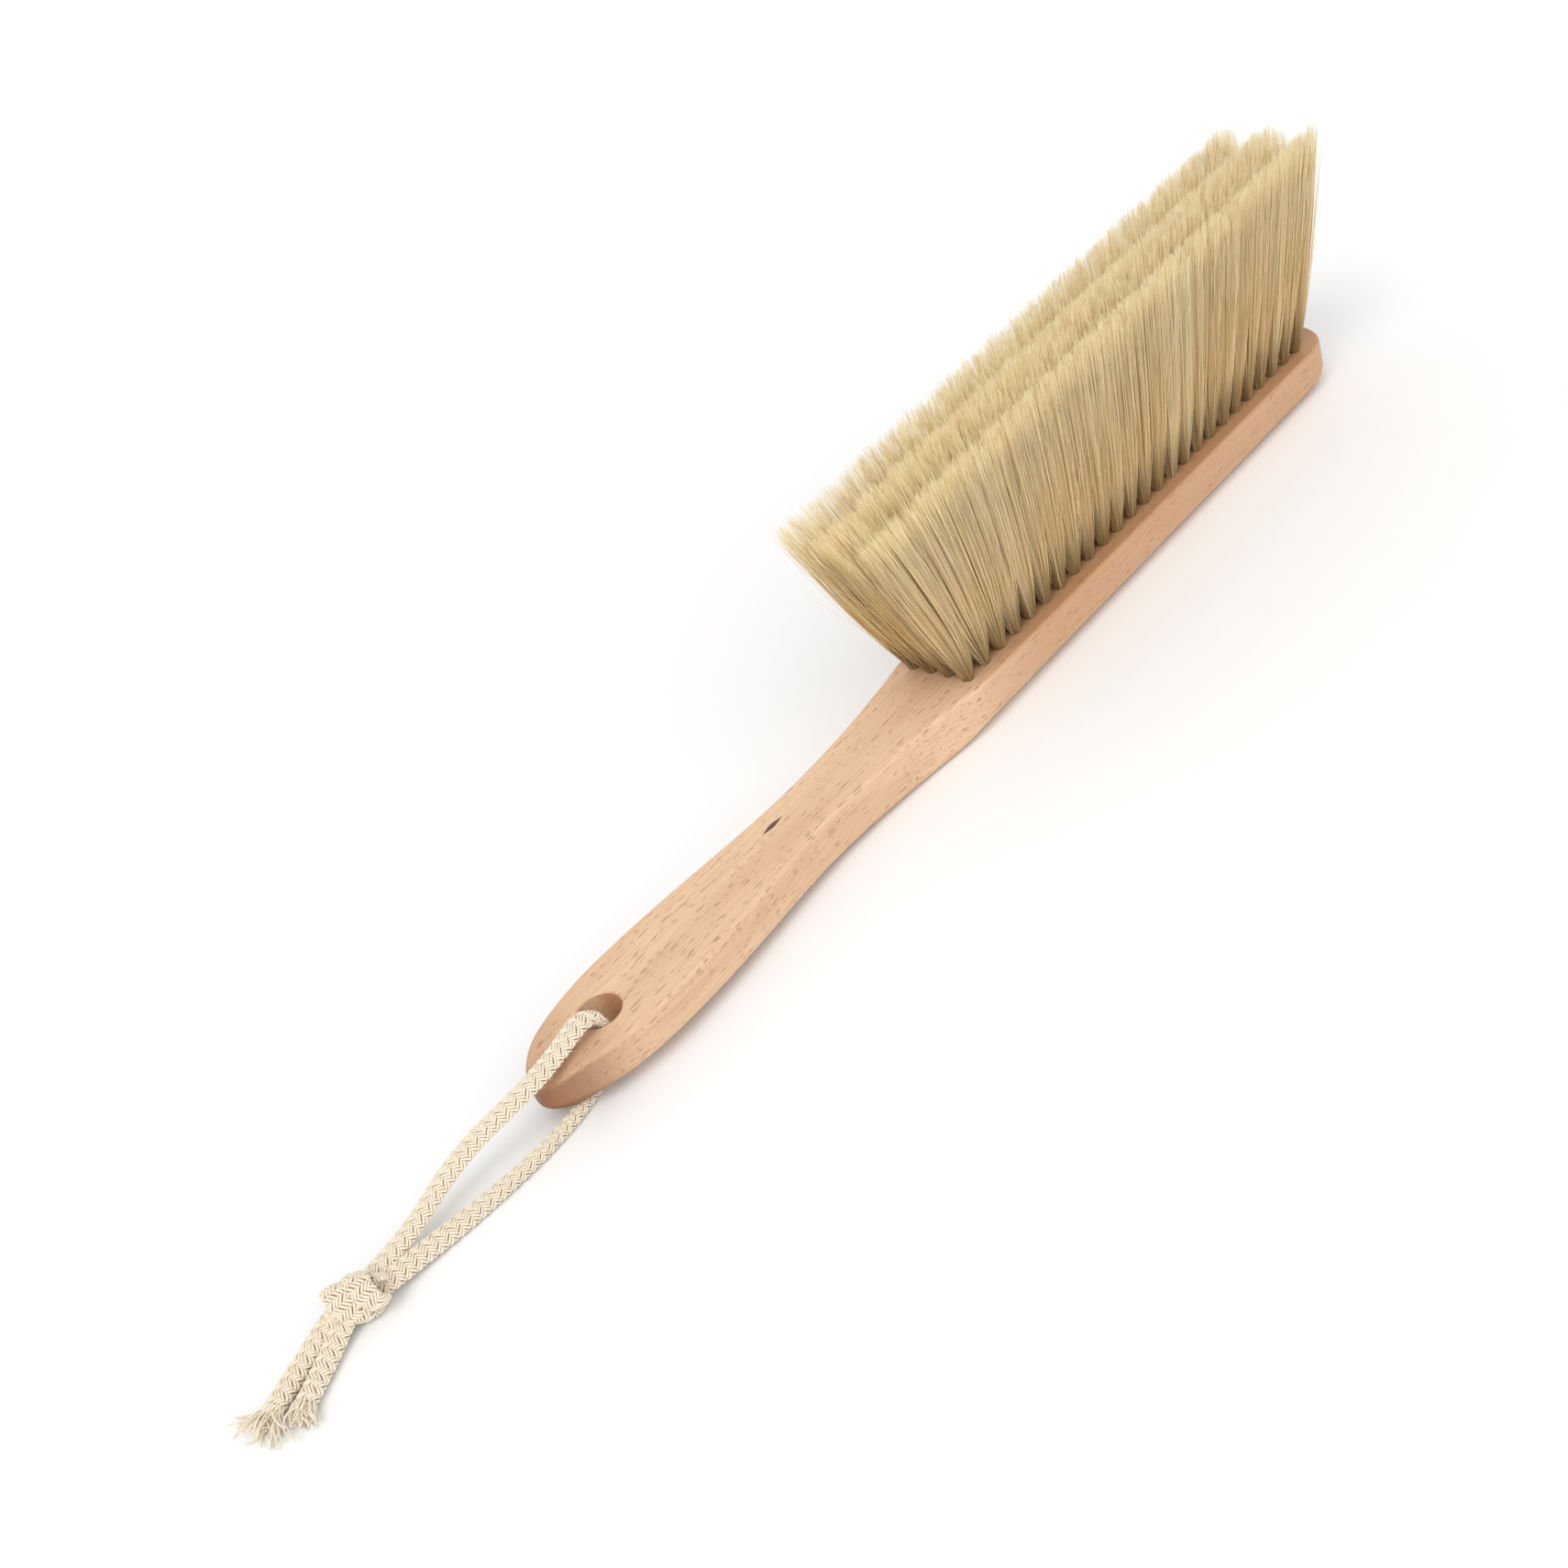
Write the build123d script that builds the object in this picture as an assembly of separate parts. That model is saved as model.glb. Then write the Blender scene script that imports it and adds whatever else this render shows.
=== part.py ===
from build123d import *
import math
import os

# A bee brush: a one-piece beech body with a long handle, ranks of soft bristle tufts set in blind
# holes, and a hanging loop of braided cotton cord. All sizes are in millimetres.
# The brush lies on its back. +X runs from the handle's end to the head's tip, +Z is the way the
# bristles point, and the origin is under the middle of the body and bristles, on the surface.

# Wooden body
OVERALL_LENGTH = 381.0      # handle's end to the overhang of the last bristles
HANDLE_END_X = -OVERALL_LENGTH / 2
WOOD_LENGTH = 366.5
WOOD_THICKNESS = 15.2
TIP_X = HANDLE_END_X + WOOD_LENGTH
HEAD_HALF_WIDTH = 16.4      # also the radius of the head's round tip
SHOULDER_X = HANDLE_END_X + 168.0
SHOULDER_SLOPE = 0.2        # how steeply the neck meets the straight side of the head
SHOULDER_RADIUS = 30.0
WAIST_X = HANDLE_END_X + 105.0
WAIST_HALF_WIDTH = 10.4
GRIP_X = HANDLE_END_X + 38.0
GRIP_HALF_WIDTH = 14.9
TOP_EDGE_RADIUS = 1.1
BACK_EDGE_RADIUS = 3.0
HEAD_BACK_RADIUS = 7.0      # the head's lower edges are rounded further than the handle's
HOLE_BACK_Z = 3.7           # the handle's back is this far off the surface at the hanging hole
HANDLE_BACK = ((-40.0, 0.0), (-85.0, 1.6), (-130.0, 2.8), (-165.5, HOLE_BACK_Z), (HANDLE_END_X - 2, 3.8))
END_DROP = 4.0              # how far the top face curves down at the handle's end
END_DROP_LENGTH = 12.5

# Hanging hole
HOLE_X = HANDLE_END_X + 25.0
HOLE_RADIUS = 6.2
HOLE_TOP_RIM = 0.3          # the chamfer at the hole's upper end
HOLE_BACK_RIM = 1.6         # the wear at its lower end, where the cord turns

# Bristle tufts
RANKS = 25
ROWS = 4
RANK_PITCH = 7.6
ROW_PITCH = 6.6
FIRST_RANK_X = HANDLE_END_X + 167.5
TUFT_RADIUS = 1.75
TUFT_HOLE_DEPTH = 9.0
TRIM_HEIGHT_HANDLE = 62.5   # bristle length above the wood at the handle's side
TRIM_HEIGHT_TIP = 67.5
TIP_SPREAD = 1.65           # how much further apart each rank's tips are than its holes
UPRIGHT_RANK = 7.9          # the rank, counted from 0, whose bristles stand straight up
END_SPLAY = 11.0            # extra lean of the first rank, towards the handle
END_SPLAY_DECAY = 0.42      # share of that lean that each following rank keeps
TIP_ROW_PITCH = 9.4
FIRST_TIP_REACH = 4.5       # the first rank's tips spread this far back from their middle
TUFT_GAP = 0.4              # left between neighbouring tufts at their tips

# Wire anchors, driven across the bottom of each tuft hole
ANCHOR_LENGTH = 4.1
ANCHOR_HEIGHT = 1.8
ANCHOR_THICKNESS = 0.4
ANCHOR_LIFT = 0.6           # bristle folded under the wire

# Hanging cord: a flat braid, drawn as a round tube of its thickness
CORD_DIAMETER = 3.2
BEND_SHARE = 0.45           # of the shorter run beside a corner, taken up by the bend
UPPER_LEG = (
    (-167.5, -2.0, 12.0),
    (-167.7, -2.1, 17.2),
    (-173.4, -3.3, 19.9),
    (-181.0, -4.5, 18.0),
    (-190.0, -5.3, 17.3),
    (-200.0, -3.2, 15.2),
    (-210.0, -0.3, 12.5),
    (-220.0, 1.9, 9.1),
    (-230.0, 2.7, 5.7),
    (-240.0, 2.8, 3.9),
    (-251.0, 1.3, 5.0),
)
LOWER_LEG = (
    (-167.5, -2.0, 12.0),
    (-167.5, -2.0, 1.7),
    (-178.5, -4.6, 1.75),
    (-189.0, -6.6, 1.7),
    (-200.0, -6.9, 1.75),
    (-211.0, -5.9, 1.7),
    (-222.0, -4.5, 1.75),
    (-232.0, -2.9, 2.2),
    (-241.0, -2.6, 3.3),
    (-251.0, -2.2, 4.9),
)
LEFT_TAIL = (
    (-252.5, 1.0, 4.9),
    (-258.5, 2.4, 2.9),
    (-265.0, 1.0, 1.9),
    (-272.0, -1.4, 1.7),
    (-279.0, -3.8, 1.8),
)
RIGHT_TAIL = (
    (-252.5, -1.2, 4.9),
    (-257.0, -2.6, 2.9),
    (-262.0, -5.4, 1.9),
    (-267.2, -8.4, 1.7),
    (-272.6, -11.8, 1.8),
)
KNOT_CENTRE = (-252.2, -0.4, 5.4)
KNOT_LENGTH = 17.2
KNOT_RADIUS = 5.3
KNOT_END_RADIUS = 3.2
KNOT_YAW = -39.0            # degrees, from +X
FRAY_LENGTH = 8.0
FRAY_WIDTH = 9.0            # the loose yarns lie on the surface, spread sideways
FRAY_HEIGHT = 2.4
SURFACE_GAP = 0.1


def plan_outline():
    """The body seen from above: elliptical handle end, waisted neck, straight head, round tip."""
    grip = (GRIP_X, GRIP_HALF_WIDTH)
    waist = (WAIST_X, WAIST_HALF_WIDTH)
    shoulder = (SHOULDER_X, HEAD_HALF_WIDTH)
    tip_centre = (TIP_X - HEAD_HALF_WIDTH, 0)
    tip_top = (tip_centre[0], HEAD_HALF_WIDTH)
    with BuildSketch() as outline:
        with BuildLine():
            EllipticalCenterArc(
                (GRIP_X, 0), GRIP_X - HANDLE_END_X, GRIP_HALF_WIDTH, start_angle=90, arc_size=90
            )
            Spline(grip, waist, shoulder, tangents=((1, 0), (1, SHOULDER_SLOPE)))
            Line(shoulder, tip_top)
            CenterArc(tip_centre, HEAD_HALF_WIDTH, 0, 90)
            Line((TIP_X, 0), (HANDLE_END_X, 0))
        make_face()
        mirror(about=Plane.XZ)
        corners = [v for v in outline.vertices() if abs(v.X - SHOULDER_X) < 0.1]
        fillet(corners, SHOULDER_RADIUS)
    return outline.sketch


def side_outline():
    """The body seen from the side: flat back under the head, the handle's back raised off the surface."""
    past_tip = TIP_X + 2
    drop_start = (HANDLE_END_X + END_DROP_LENGTH, WOOD_THICKNESS)
    drop_end = (HANDLE_END_X, WOOD_THICKNESS - END_DROP)
    past_end = (HANDLE_BACK[-1][0], WOOD_THICKNESS - END_DROP - 1)
    with BuildSketch(Plane.XZ) as outline:
        with BuildLine():
            Polyline(HANDLE_BACK[0], (past_tip, 0), (past_tip, WOOD_THICKNESS), drop_start)
            TangentArc(drop_start, drop_end, tangent=(-1, 0))
            Polyline(drop_end, past_end, HANDLE_BACK[-1])
            Spline(*reversed(HANDLE_BACK), tangents=((1, 0), (1, 0)))
        make_face()
    return outline.sketch


def border(faces):
    """The edges that only one of these faces has: the outline of the faces together."""
    edges = [edge for face in faces for edge in face.edges()]
    middles = [edge @ 0.5 for edge in edges]
    return [e for e, m in zip(edges, middles) if sum((m - n).length < 0.01 for n in middles) == 1]


def head_rounding():
    """A long plate with the head's width and round tip, whose lower edges have the head's radius."""
    start = HANDLE_END_X - 10
    with BuildPart() as plate:
        with BuildSketch():
            with BuildLine():
                Line((start, HEAD_HALF_WIDTH), (TIP_X - HEAD_HALF_WIDTH, HEAD_HALF_WIDTH))
                CenterArc((TIP_X - HEAD_HALF_WIDTH, 0), HEAD_HALF_WIDTH, -90, 180)
                Line((TIP_X - HEAD_HALF_WIDTH, -HEAD_HALF_WIDTH), (start, -HEAD_HALF_WIDTH))
                Line((start, -HEAD_HALF_WIDTH), (start, HEAD_HALF_WIDTH))
            make_face()
        extrude(amount=WOOD_THICKNESS)
        low = plate.edges().group_by(Axis.Z)[0]
        fillet([e for e in low if (e @ 0.5).X > start + 1], HEAD_BACK_RADIUS)
    return plate.part


def body_blank():
    """The wooden body before its holes are drilled."""
    blank = extrude(plan_outline(), amount=WOOD_THICKNESS)
    side = extrude(side_outline(), amount=2 * HEAD_HALF_WIDTH, both=True)
    blank = (blank & side).solids()[0]
    back = blank.faces().filter_by(lambda f: f.normal_at().Z < -0.9)
    blank = blank.fillet(BACK_EDGE_RADIUS, border(back))
    blank = (blank & head_rounding()).solids()[0]
    top = blank.faces().filter_by(lambda f: f.normal_at().Z > 0.9)
    return blank.fillet(TOP_EDGE_RADIUS, border(top))


def hanging_hole():
    """The drill for the hanging hole, with a crisp upper rim and a worn lower one."""
    drill = Pos(HOLE_X, 0, WOOD_THICKNESS / 2) * Cylinder(HOLE_RADIUS, 2 * WOOD_THICKNESS)
    top = Pos(HOLE_X, 0, WOOD_THICKNESS) * Cone(HOLE_RADIUS, HOLE_RADIUS + 2 * HOLE_TOP_RIM, 2 * HOLE_TOP_RIM)
    back = Pos(HOLE_X, 0, HOLE_BACK_Z) * Cone(HOLE_RADIUS + 2 * HOLE_BACK_RIM, HOLE_RADIUS, 2 * HOLE_BACK_RIM)
    return drill + top + back


def rank_x(rank):
    """Where a rank of tufts stands along the head; ranks count from 0 at the handle's side."""
    return FIRST_RANK_X + rank * RANK_PITCH


def row_offset(row):
    """A row's place across the head, in pitches from the middle."""
    return row - (ROWS - 1) / 2


def tuft_hole_places(rank):
    """The middle of each tuft hole's floor in one rank."""
    floor = WOOD_THICKNESS - TUFT_HOLE_DEPTH
    return [Pos(rank_x(rank), ROW_PITCH * row_offset(row), floor) for row in range(ROWS)]


def tip_x(rank):
    """Where the middle of a rank's trimmed tips is: the ranks fan out along the head."""
    return rank_x(rank) + TIP_SPREAD * (rank - UPRIGHT_RANK) - END_SPLAY * END_SPLAY_DECAY**rank


def tip_edges(rank):
    """The two ends of a rank's trimmed tips along X, half way to its neighbours."""
    middle = tip_x(rank)
    before = (tip_x(rank - 1) + middle) / 2 if rank > 0 else middle - FIRST_TIP_REACH
    after = (middle + tip_x(rank + 1)) / 2 if rank < RANKS - 1 else OVERALL_LENGTH / 2
    return before + TUFT_GAP / 2, after - TUFT_GAP / 2 if rank < RANKS - 1 else after


def tuft(rank, row):
    """One tuft: round in its hole, spreading to an oval at its trimmed tips."""
    low, high = tip_edges(rank)
    share = rank / (RANKS - 1)
    top = WOOD_THICKNESS + TRIM_HEIGHT_HANDLE + share * (TRIM_HEIGHT_TIP - TRIM_HEIGHT_HANDLE)
    base = tuft_hole_places(rank)[row]
    tip = Pos((low + high) / 2, TIP_ROW_PITCH * row_offset(row), top)
    sections = [
        base * Circle(TUFT_RADIUS),
        base * Pos(0, 0, TUFT_HOLE_DEPTH) * Circle(TUFT_RADIUS),
        tip * Ellipse((high - low) / 2, (TIP_ROW_PITCH - TUFT_GAP) / 2),
    ]
    return loft(sections, ruled=True)


def anchor(place):
    """One flat wire anchor, holding the folded bristles down at the bottom of a hole."""
    lift = Pos(0, 0, ANCHOR_LIFT + ANCHOR_HEIGHT / 2)
    return place * lift * Box(ANCHOR_THICKNESS, ANCHOR_LENGTH, ANCHOR_HEIGHT)


def unit(start, end):
    """The direction from one point of a route to another."""
    return (Vector(*end) - Vector(*start)).normalized()


def bend_radii(route):
    """For each corner, as large an arc as its two runs allow."""
    radii = []
    for before, corner, after in zip(route, route[1:], route[2:]):
        turn = math.radians(unit(before, corner).get_angle(unit(corner, after)))
        shorter = min((Vector(*corner) - Vector(*before)).length, (Vector(*after) - Vector(*corner)).length)
        radii.append(BEND_SHARE * shorter / math.tan(turn / 2))
    return radii


def cord(name, route):
    """A round tube along a route of straight runs and tangent arcs."""
    radii = bend_radii(route)
    path = FilletPolyline(*route, radius=radii)
    section = Plane(origin=route[0], z_dir=unit(route[0], route[1])) * Circle(CORD_DIAMETER / 2)
    tube = sweep(section, path=path)
    print(name, "length", round(path.length, 1), "radii", [round(radius, 1) for radius in radii])
    print(name, "volume", round(tube.volume, 1), "section x length", round(section.area * path.length, 1))
    return tube


def knot():
    """The overhand knot's outer shape: a barrel lying across the line of the cord."""
    with BuildPart() as barrel:
        with BuildSketch(Plane.XZ):
            with BuildLine():
                end = KNOT_LENGTH / 2
                swell = ThreePointArc((-end, KNOT_END_RADIUS), (0, KNOT_RADIUS), (end, KNOT_END_RADIUS))
                Polyline(swell @ 1, (end, 0), (-end, 0), swell @ 0)
            make_face()
        revolve(axis=Axis.X)
    return Pos(*KNOT_CENTRE) * Rot(0, 0, KNOT_YAW) * barrel.part


def frayed_end(route):
    """The loose yarns past the end of a tail: round at the braid, flat and wide on the surface."""
    direction = unit(route[-2], route[-1])
    level = Vector(direction.X, direction.Y, 0).normalized()
    across = level.cross(Vector(0, 0, 1))
    far = Vector(*route[-1]) + level * FRAY_LENGTH
    start = Plane(origin=route[-1], x_dir=across, z_dir=direction)
    finish = Plane(origin=(far.X, far.Y, FRAY_HEIGHT / 2 + SURFACE_GAP), x_dir=across, z_dir=level)
    sections = [start * Circle(CORD_DIAMETER / 2), finish * Ellipse(FRAY_WIDTH / 2, FRAY_HEIGHT / 2)]
    return loft(sections, ruled=True)


def save(name, *solids):
    """Write one node, whose solids may be a group of alike pieces."""
    group = solids[0] if len(solids) == 1 else Compound(children=list(solids))
    export_step(group, f"parts/{name}.step")


def make_brush():
    """The wooden body with its tufts and anchors."""
    body = body_blank() - hanging_hole()
    hole = Pos(0, 0, TUFT_HOLE_DEPTH) * Cylinder(TUFT_RADIUS, 2 * TUFT_HOLE_DEPTH)
    for rank in range(RANKS):
        places = tuft_hole_places(rank)
        anchors = [anchor(place) for place in places]
        tufts = [tuft(rank, row) - anchors[row] for row in range(ROWS)]
        body = body - [place * hole for place in places] - anchors
        save(f"tuft_rank_{rank + 1:02d}", *[piece.solids()[0] for piece in tufts])
        save(f"anchor_rank_{rank + 1:02d}", *[piece.solids()[0] for piece in anchors])
    save("wooden_body", body.solids()[0])


def make_loop():
    """The hanging loop: two legs of one cord, its knot, two tails and their frayed ends."""
    centre_knot = knot()
    save("cord_knot", centre_knot.solids()[0])
    routes = {
        "cord_upper_leg": UPPER_LEG,
        "cord_lower_leg": LOWER_LEG,
        "cord_left_tail": LEFT_TAIL,
        "cord_right_tail": RIGHT_TAIL,
    }
    for name, route in routes.items():
        tube = cord(name, route) - centre_knot
        save(name, tube.solids().sort_by(SortBy.VOLUME)[-1])
    save("frayed_end_left", frayed_end(LEFT_TAIL).solids()[0])
    save("frayed_end_right", frayed_end(RIGHT_TAIL).solids()[0])


def main():
    os.makedirs("parts", exist_ok=True)
    make_brush()
    make_loop()


main()
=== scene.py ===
import math

import bpy
import numpy as np
from mathutils import Matrix, Vector


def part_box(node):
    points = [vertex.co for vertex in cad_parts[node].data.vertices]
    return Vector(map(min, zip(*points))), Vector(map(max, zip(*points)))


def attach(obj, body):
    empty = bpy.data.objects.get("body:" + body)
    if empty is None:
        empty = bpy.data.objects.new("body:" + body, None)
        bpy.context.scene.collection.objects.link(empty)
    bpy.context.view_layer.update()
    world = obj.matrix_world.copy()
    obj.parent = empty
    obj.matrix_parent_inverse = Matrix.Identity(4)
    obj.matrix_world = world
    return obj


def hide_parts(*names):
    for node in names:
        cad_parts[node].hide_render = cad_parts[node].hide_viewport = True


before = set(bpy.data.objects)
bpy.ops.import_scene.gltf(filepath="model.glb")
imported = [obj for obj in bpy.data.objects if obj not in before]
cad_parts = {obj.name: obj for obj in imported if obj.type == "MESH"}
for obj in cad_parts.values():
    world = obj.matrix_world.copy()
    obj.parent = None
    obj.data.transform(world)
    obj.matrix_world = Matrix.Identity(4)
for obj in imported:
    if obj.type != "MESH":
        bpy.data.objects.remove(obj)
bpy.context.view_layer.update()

# A bee brush lying on its back: beech body, four rows of pale bristle tufts, braided cotton loop.
# Lengths are in metres; the values that read better in millimetres are multiplied by MM.
MM = 0.001
SEED = 7

# Camera, at the photograph's viewing angle
CAMERA_PLACE = (-0.3168, -0.3229, 0.2997)
CAMERA_AIM = (-0.0663, 0.0306, 0.0)
CAMERA_ROLL = math.radians(-22.2)
CAMERA_LENS = 42.1
CAMERA_SENSOR = 36.0

# Routes of the four stretches of cord, within 4 mm of those in the CAD model
UPPER_LEG = (
    (-0.1675, -0.0020, 0.0120),
    (-0.1677, -0.0021, 0.0172),
    (-0.1734, -0.0033, 0.0199),
    (-0.1810, -0.0034, 0.0180),
    (-0.1900, -0.0041, 0.0173),
    (-0.2000, -0.0020, 0.0152),
    (-0.2100, 0.0012, 0.0125),
    (-0.2200, 0.0029, 0.0091),
    (-0.2300, 0.0027, 0.0057),
    (-0.2400, 0.0028, 0.0039),
    (-0.2510, 0.0013, 0.0050),
)
LOWER_LEG = (
    (-0.1675, -0.0020, 0.0120),
    (-0.1675, -0.0020, 0.0017),
    (-0.1785, -0.0046, 0.00175),
    (-0.1890, -0.0066, 0.0017),
    (-0.2000, -0.0069, 0.00175),
    (-0.2110, -0.0059, 0.0017),
    (-0.2220, -0.0045, 0.00175),
    (-0.2320, -0.0029, 0.0022),
    (-0.2410, -0.0026, 0.0033),
    (-0.2510, -0.0022, 0.0049),
)
LEFT_TAIL = (
    (-0.2525, 0.0010, 0.0049),
    (-0.2588, 0.0032, 0.0029),
    (-0.2654, 0.0019, 0.0019),
    (-0.2725, -0.0004, 0.0017),
    (-0.2795, -0.0028, 0.0018),
)
RIGHT_TAIL = (
    (-0.2525, -0.0012, 0.0049),
    (-0.2577, -0.0009, 0.0029),
    (-0.2630, -0.0032, 0.0019),
    (-0.2690, -0.0060, 0.0017),
    (-0.2750, -0.0090, 0.0018),
)

# The flat tubular braid: 4 strands each way round, over one and under one, of 3 yarns each
BRAID_WIDTH = 6.1 * MM
BRAID_THICKNESS = 3.4 * MM
STRANDS_EACH_WAY = 4
YARNS_PER_STRAND = 3
YARN_RADIUS = 0.32 * MM
YARN_CLOSENESS = 0.92        # the yarns of a strand lie closer than the strands
YARN_LIFT = 0.38 * MM        # how far a strand rises where it passes over another
CORE_DEPTH = 0.3             # how the filling counts in the weave, from 0 for deep to 1 for the top; the deeper, the more tan painted shade
BRAID_PITCH = 12.5 * MM      # length in which a strand goes once round the cord
BRAID_STEP = 0.2 * MM
PULLED_SHARE = 0.66          # the lower leg is this share of the braid's width at the hole
FUZZ_FIBRES = 900            # on each stretch of cord
FUZZ_RADIUS = 0.022 * MM
FUZZ_LENGTH = 1.3 * MM

# The frayed ends: the angles that each fans out between, in degrees, and its yarns' reach in mm
FRAY_FANS = {"left": ((-66, 50), (6.0, 10.5)), "right": ((-25, 35), (3.0, 6.5))}
FRAY_LEVELS = 26
PLIES_PER_YARN = 2

# The knot: two bands of braid wound round the doubled cord, half a turn apart
KNOT_YAW = math.radians(-39)
KNOT_SHIFT = 0.4 * MM        # along its own axis, from the middle of the CAD knot
KNOT_HALF_LENGTH = 9.3 * MM
KNOT_RADIUS = 5.8 * MM
KNOT_PITCH = 12.0 * MM
KNOT_START = math.radians(205)
KNOT_BAND_WIDTH = 6.4 * MM
KNOT_BAND_THICKNESS = 2.8 * MM

# The small dark mark on the handle: its place and its half length and width
MARK_PLACE = (-0.094, 0.0038)
MARK_SIZE = (0.0043, 0.00095)

# Dashes in the wood: the pattern's scale along X, Y and Z, how rare they are, and their size
RAY_FLECKS = (
    ((300, 2700, 2700), 0.66, 0.43),
    ((150, 2000, 2000), 0.8, 0.42),
)

# Bristles
STRANDS_PER_TUFT = 430
ROWS = 4
BRISTLE_SIDES = 3
BRISTLE_RADIUS = 0.078 * MM
BRISTLE_LEVELS = np.array([-0.1, 0.0, 0.08, 0.17, 0.28, 0.42, 0.57, 0.72, 0.87, 1.0])
LEAN_SHARES = (0.9, 0.64)    # of the lean of the CAD tufts, at the first rank and at the last
TIP_OVERLAP = 1.18           # neighbouring tufts mingle along the head
WISPS_PER_TUFT = 22
WISP_PULL = 0.25             # how far each bristle's tip is drawn towards its wisp
WISP_POINT = 5.0 * MM        # how pointed the wisps are
OUTER_ROW_TIPS = 14.3 * MM   # from the brush's middle plane
INNER_ROW_TIPS = 3.7 * MM
OUTER_RIDGE = (15.6 * MM, 6.5 * MM)     # the ridge of trimmed tips: its middle, its half width
INNER_RIDGE = (0.0, 8.5 * MM)
RIDGE_DROP = 5.6 * MM
STRAY_SHARE = 0.015
SWAY = 0.7 * MM              # how far a bristle bows out of line
WISP_UNEVEN = 0.9 * MM       # how uneven the trimmed tips are: wisp to wisp, tip to tip, and cut short
TIP_UNEVEN = 0.5 * MM
TIP_SHORT = 1.1 * MM


# ---------------------------------------------------------------- meshes

def add_object(name, data):
    piece = bpy.data.objects.new(name, data)
    bpy.context.scene.collection.objects.link(piece)
    return piece


def tube_faces(count, rings, sides):
    """Faces of count closed tubes, each of rings rings of sides points: the quads, then the end caps."""
    tube, ring, side = np.meshgrid(np.arange(count), np.arange(rings - 1), np.arange(sides), indexing="ij")
    start = (tube * rings + ring) * sides
    after = (side + 1) % sides
    quads = np.stack([start + side, start + after, start + sides + after, start + sides + side], -1)
    first = (np.arange(count) * rings * sides)[:, None]
    ends = np.arange(sides)[None, :]
    caps = np.concatenate([first + ends[:, ::-1], first + (rings - 1) * sides + ends])
    return quads.reshape(-1, 4), caps


def tube_mesh(name, rings):
    """One mesh of closed tubes. rings has the shape (tubes, rings, sides, 3)."""
    count, levels, sides, _ = rings.shape
    quads, caps = tube_faces(count, levels, sides)
    corners = np.concatenate([quads.ravel(), caps.ravel()])
    starts = np.concatenate([np.arange(len(quads)) * 4, quads.size + np.arange(len(caps)) * sides])
    mesh = bpy.data.meshes.new(name)
    mesh.vertices.add(count * levels * sides)
    mesh.vertices.foreach_set("co", rings.astype(np.float32).ravel())
    mesh.loops.add(len(corners))
    mesh.loops.foreach_set("vertex_index", corners.astype(np.int32))
    mesh.polygons.add(len(starts))
    mesh.polygons.foreach_set("loop_start", starts.astype(np.int32))
    mesh.polygons.foreach_set("use_smooth", np.ones(len(starts), bool))
    mesh.update(calc_edges=True)
    return mesh


def paint(mesh, name, values):
    """A number at each point of the mesh, for its material to read."""
    layer = mesh.attributes.new(name, "FLOAT", "POINT")
    layer.data.foreach_set("value", np.ascontiguousarray(values, np.float32).ravel())


def unit(vectors):
    return vectors / np.linalg.norm(vectors, axis=-1, keepdims=True)


def rings_round(lines, radii, sides, facing):
    """Rings of points round each line. facing is the way that the first point of each ring lies."""
    along = unit(np.gradient(lines, axis=1))
    side = unit(np.cross(along, facing))
    out = np.cross(side, along)
    turns = np.arange(sides) / sides * 2 * np.pi
    offsets = np.cos(turns)[:, None] * out[:, :, None, :] + np.sin(turns)[:, None] * side[:, :, None, :]
    return lines[:, :, None, :] + offsets * radii[..., None, None]


# ---------------------------------------------------------------- camera, light, floor

def add_camera():
    camera = add_object("camera", bpy.data.cameras.new("camera"))
    camera.data.sensor_width = CAMERA_SENSOR
    camera.data.lens = CAMERA_LENS
    place = Vector(CAMERA_PLACE)
    aim = (Vector(CAMERA_AIM) - place).to_track_quat("-Z", "Y").to_matrix().to_4x4()
    camera.matrix_world = Matrix.Translation(place) @ aim @ Matrix.Rotation(CAMERA_ROLL, 4, "Z")
    bpy.context.scene.camera = camera


def add_sun(name, place, strength, softness):
    """A soft distant light shining from place towards the origin."""
    light = bpy.data.lights.new(name, "SUN")
    light.energy = strength
    light.angle = math.radians(softness)
    holder = add_object(name, light)
    holder.rotation_euler = Vector(place).to_track_quat("Z", "Y").to_euler()


def add_studio():
    """An even white room, two soft lights and a pale floor."""
    world = bpy.data.worlds.new("studio")
    world.use_nodes = True
    sky = world.node_tree.nodes["Background"]
    sky.inputs["Color"].default_value = (1.0, 1.0, 1.0, 1)
    sky.inputs["Strength"].default_value = 0.8
    bpy.context.scene.world = world
    bpy.context.scene.view_settings.view_transform = "Standard"
    add_sun("key", (-0.75, -0.25, 1.0), 0.95, 30)
    add_sun("fill", (-0.2, -1.0, 0.8), 0.6, 60)
    floor_mesh = bpy.data.meshes.new("floor")
    reach = 4.0
    corners = [(-reach, -reach, 0), (reach, -reach, 0), (reach, reach, 0), (-reach, reach, 0)]
    floor_mesh.from_pydata(corners, [], [(0, 1, 2, 3)])
    floor = add_object("floor", floor_mesh)
    floor.location.z = -0.0001
    material, shader = new_material("floor", 0.9)
    shader.inputs["Base Color"].default_value = (0.9, 0.9, 0.9, 1)
    floor_mesh.materials.append(material)


# ---------------------------------------------------------------- materials

def new_material(name, roughness):
    material = bpy.data.materials.new(name)
    material.use_nodes = True
    shader = material.node_tree.nodes["Principled BSDF"]
    shader.inputs["Roughness"].default_value = roughness
    return material, shader


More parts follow.
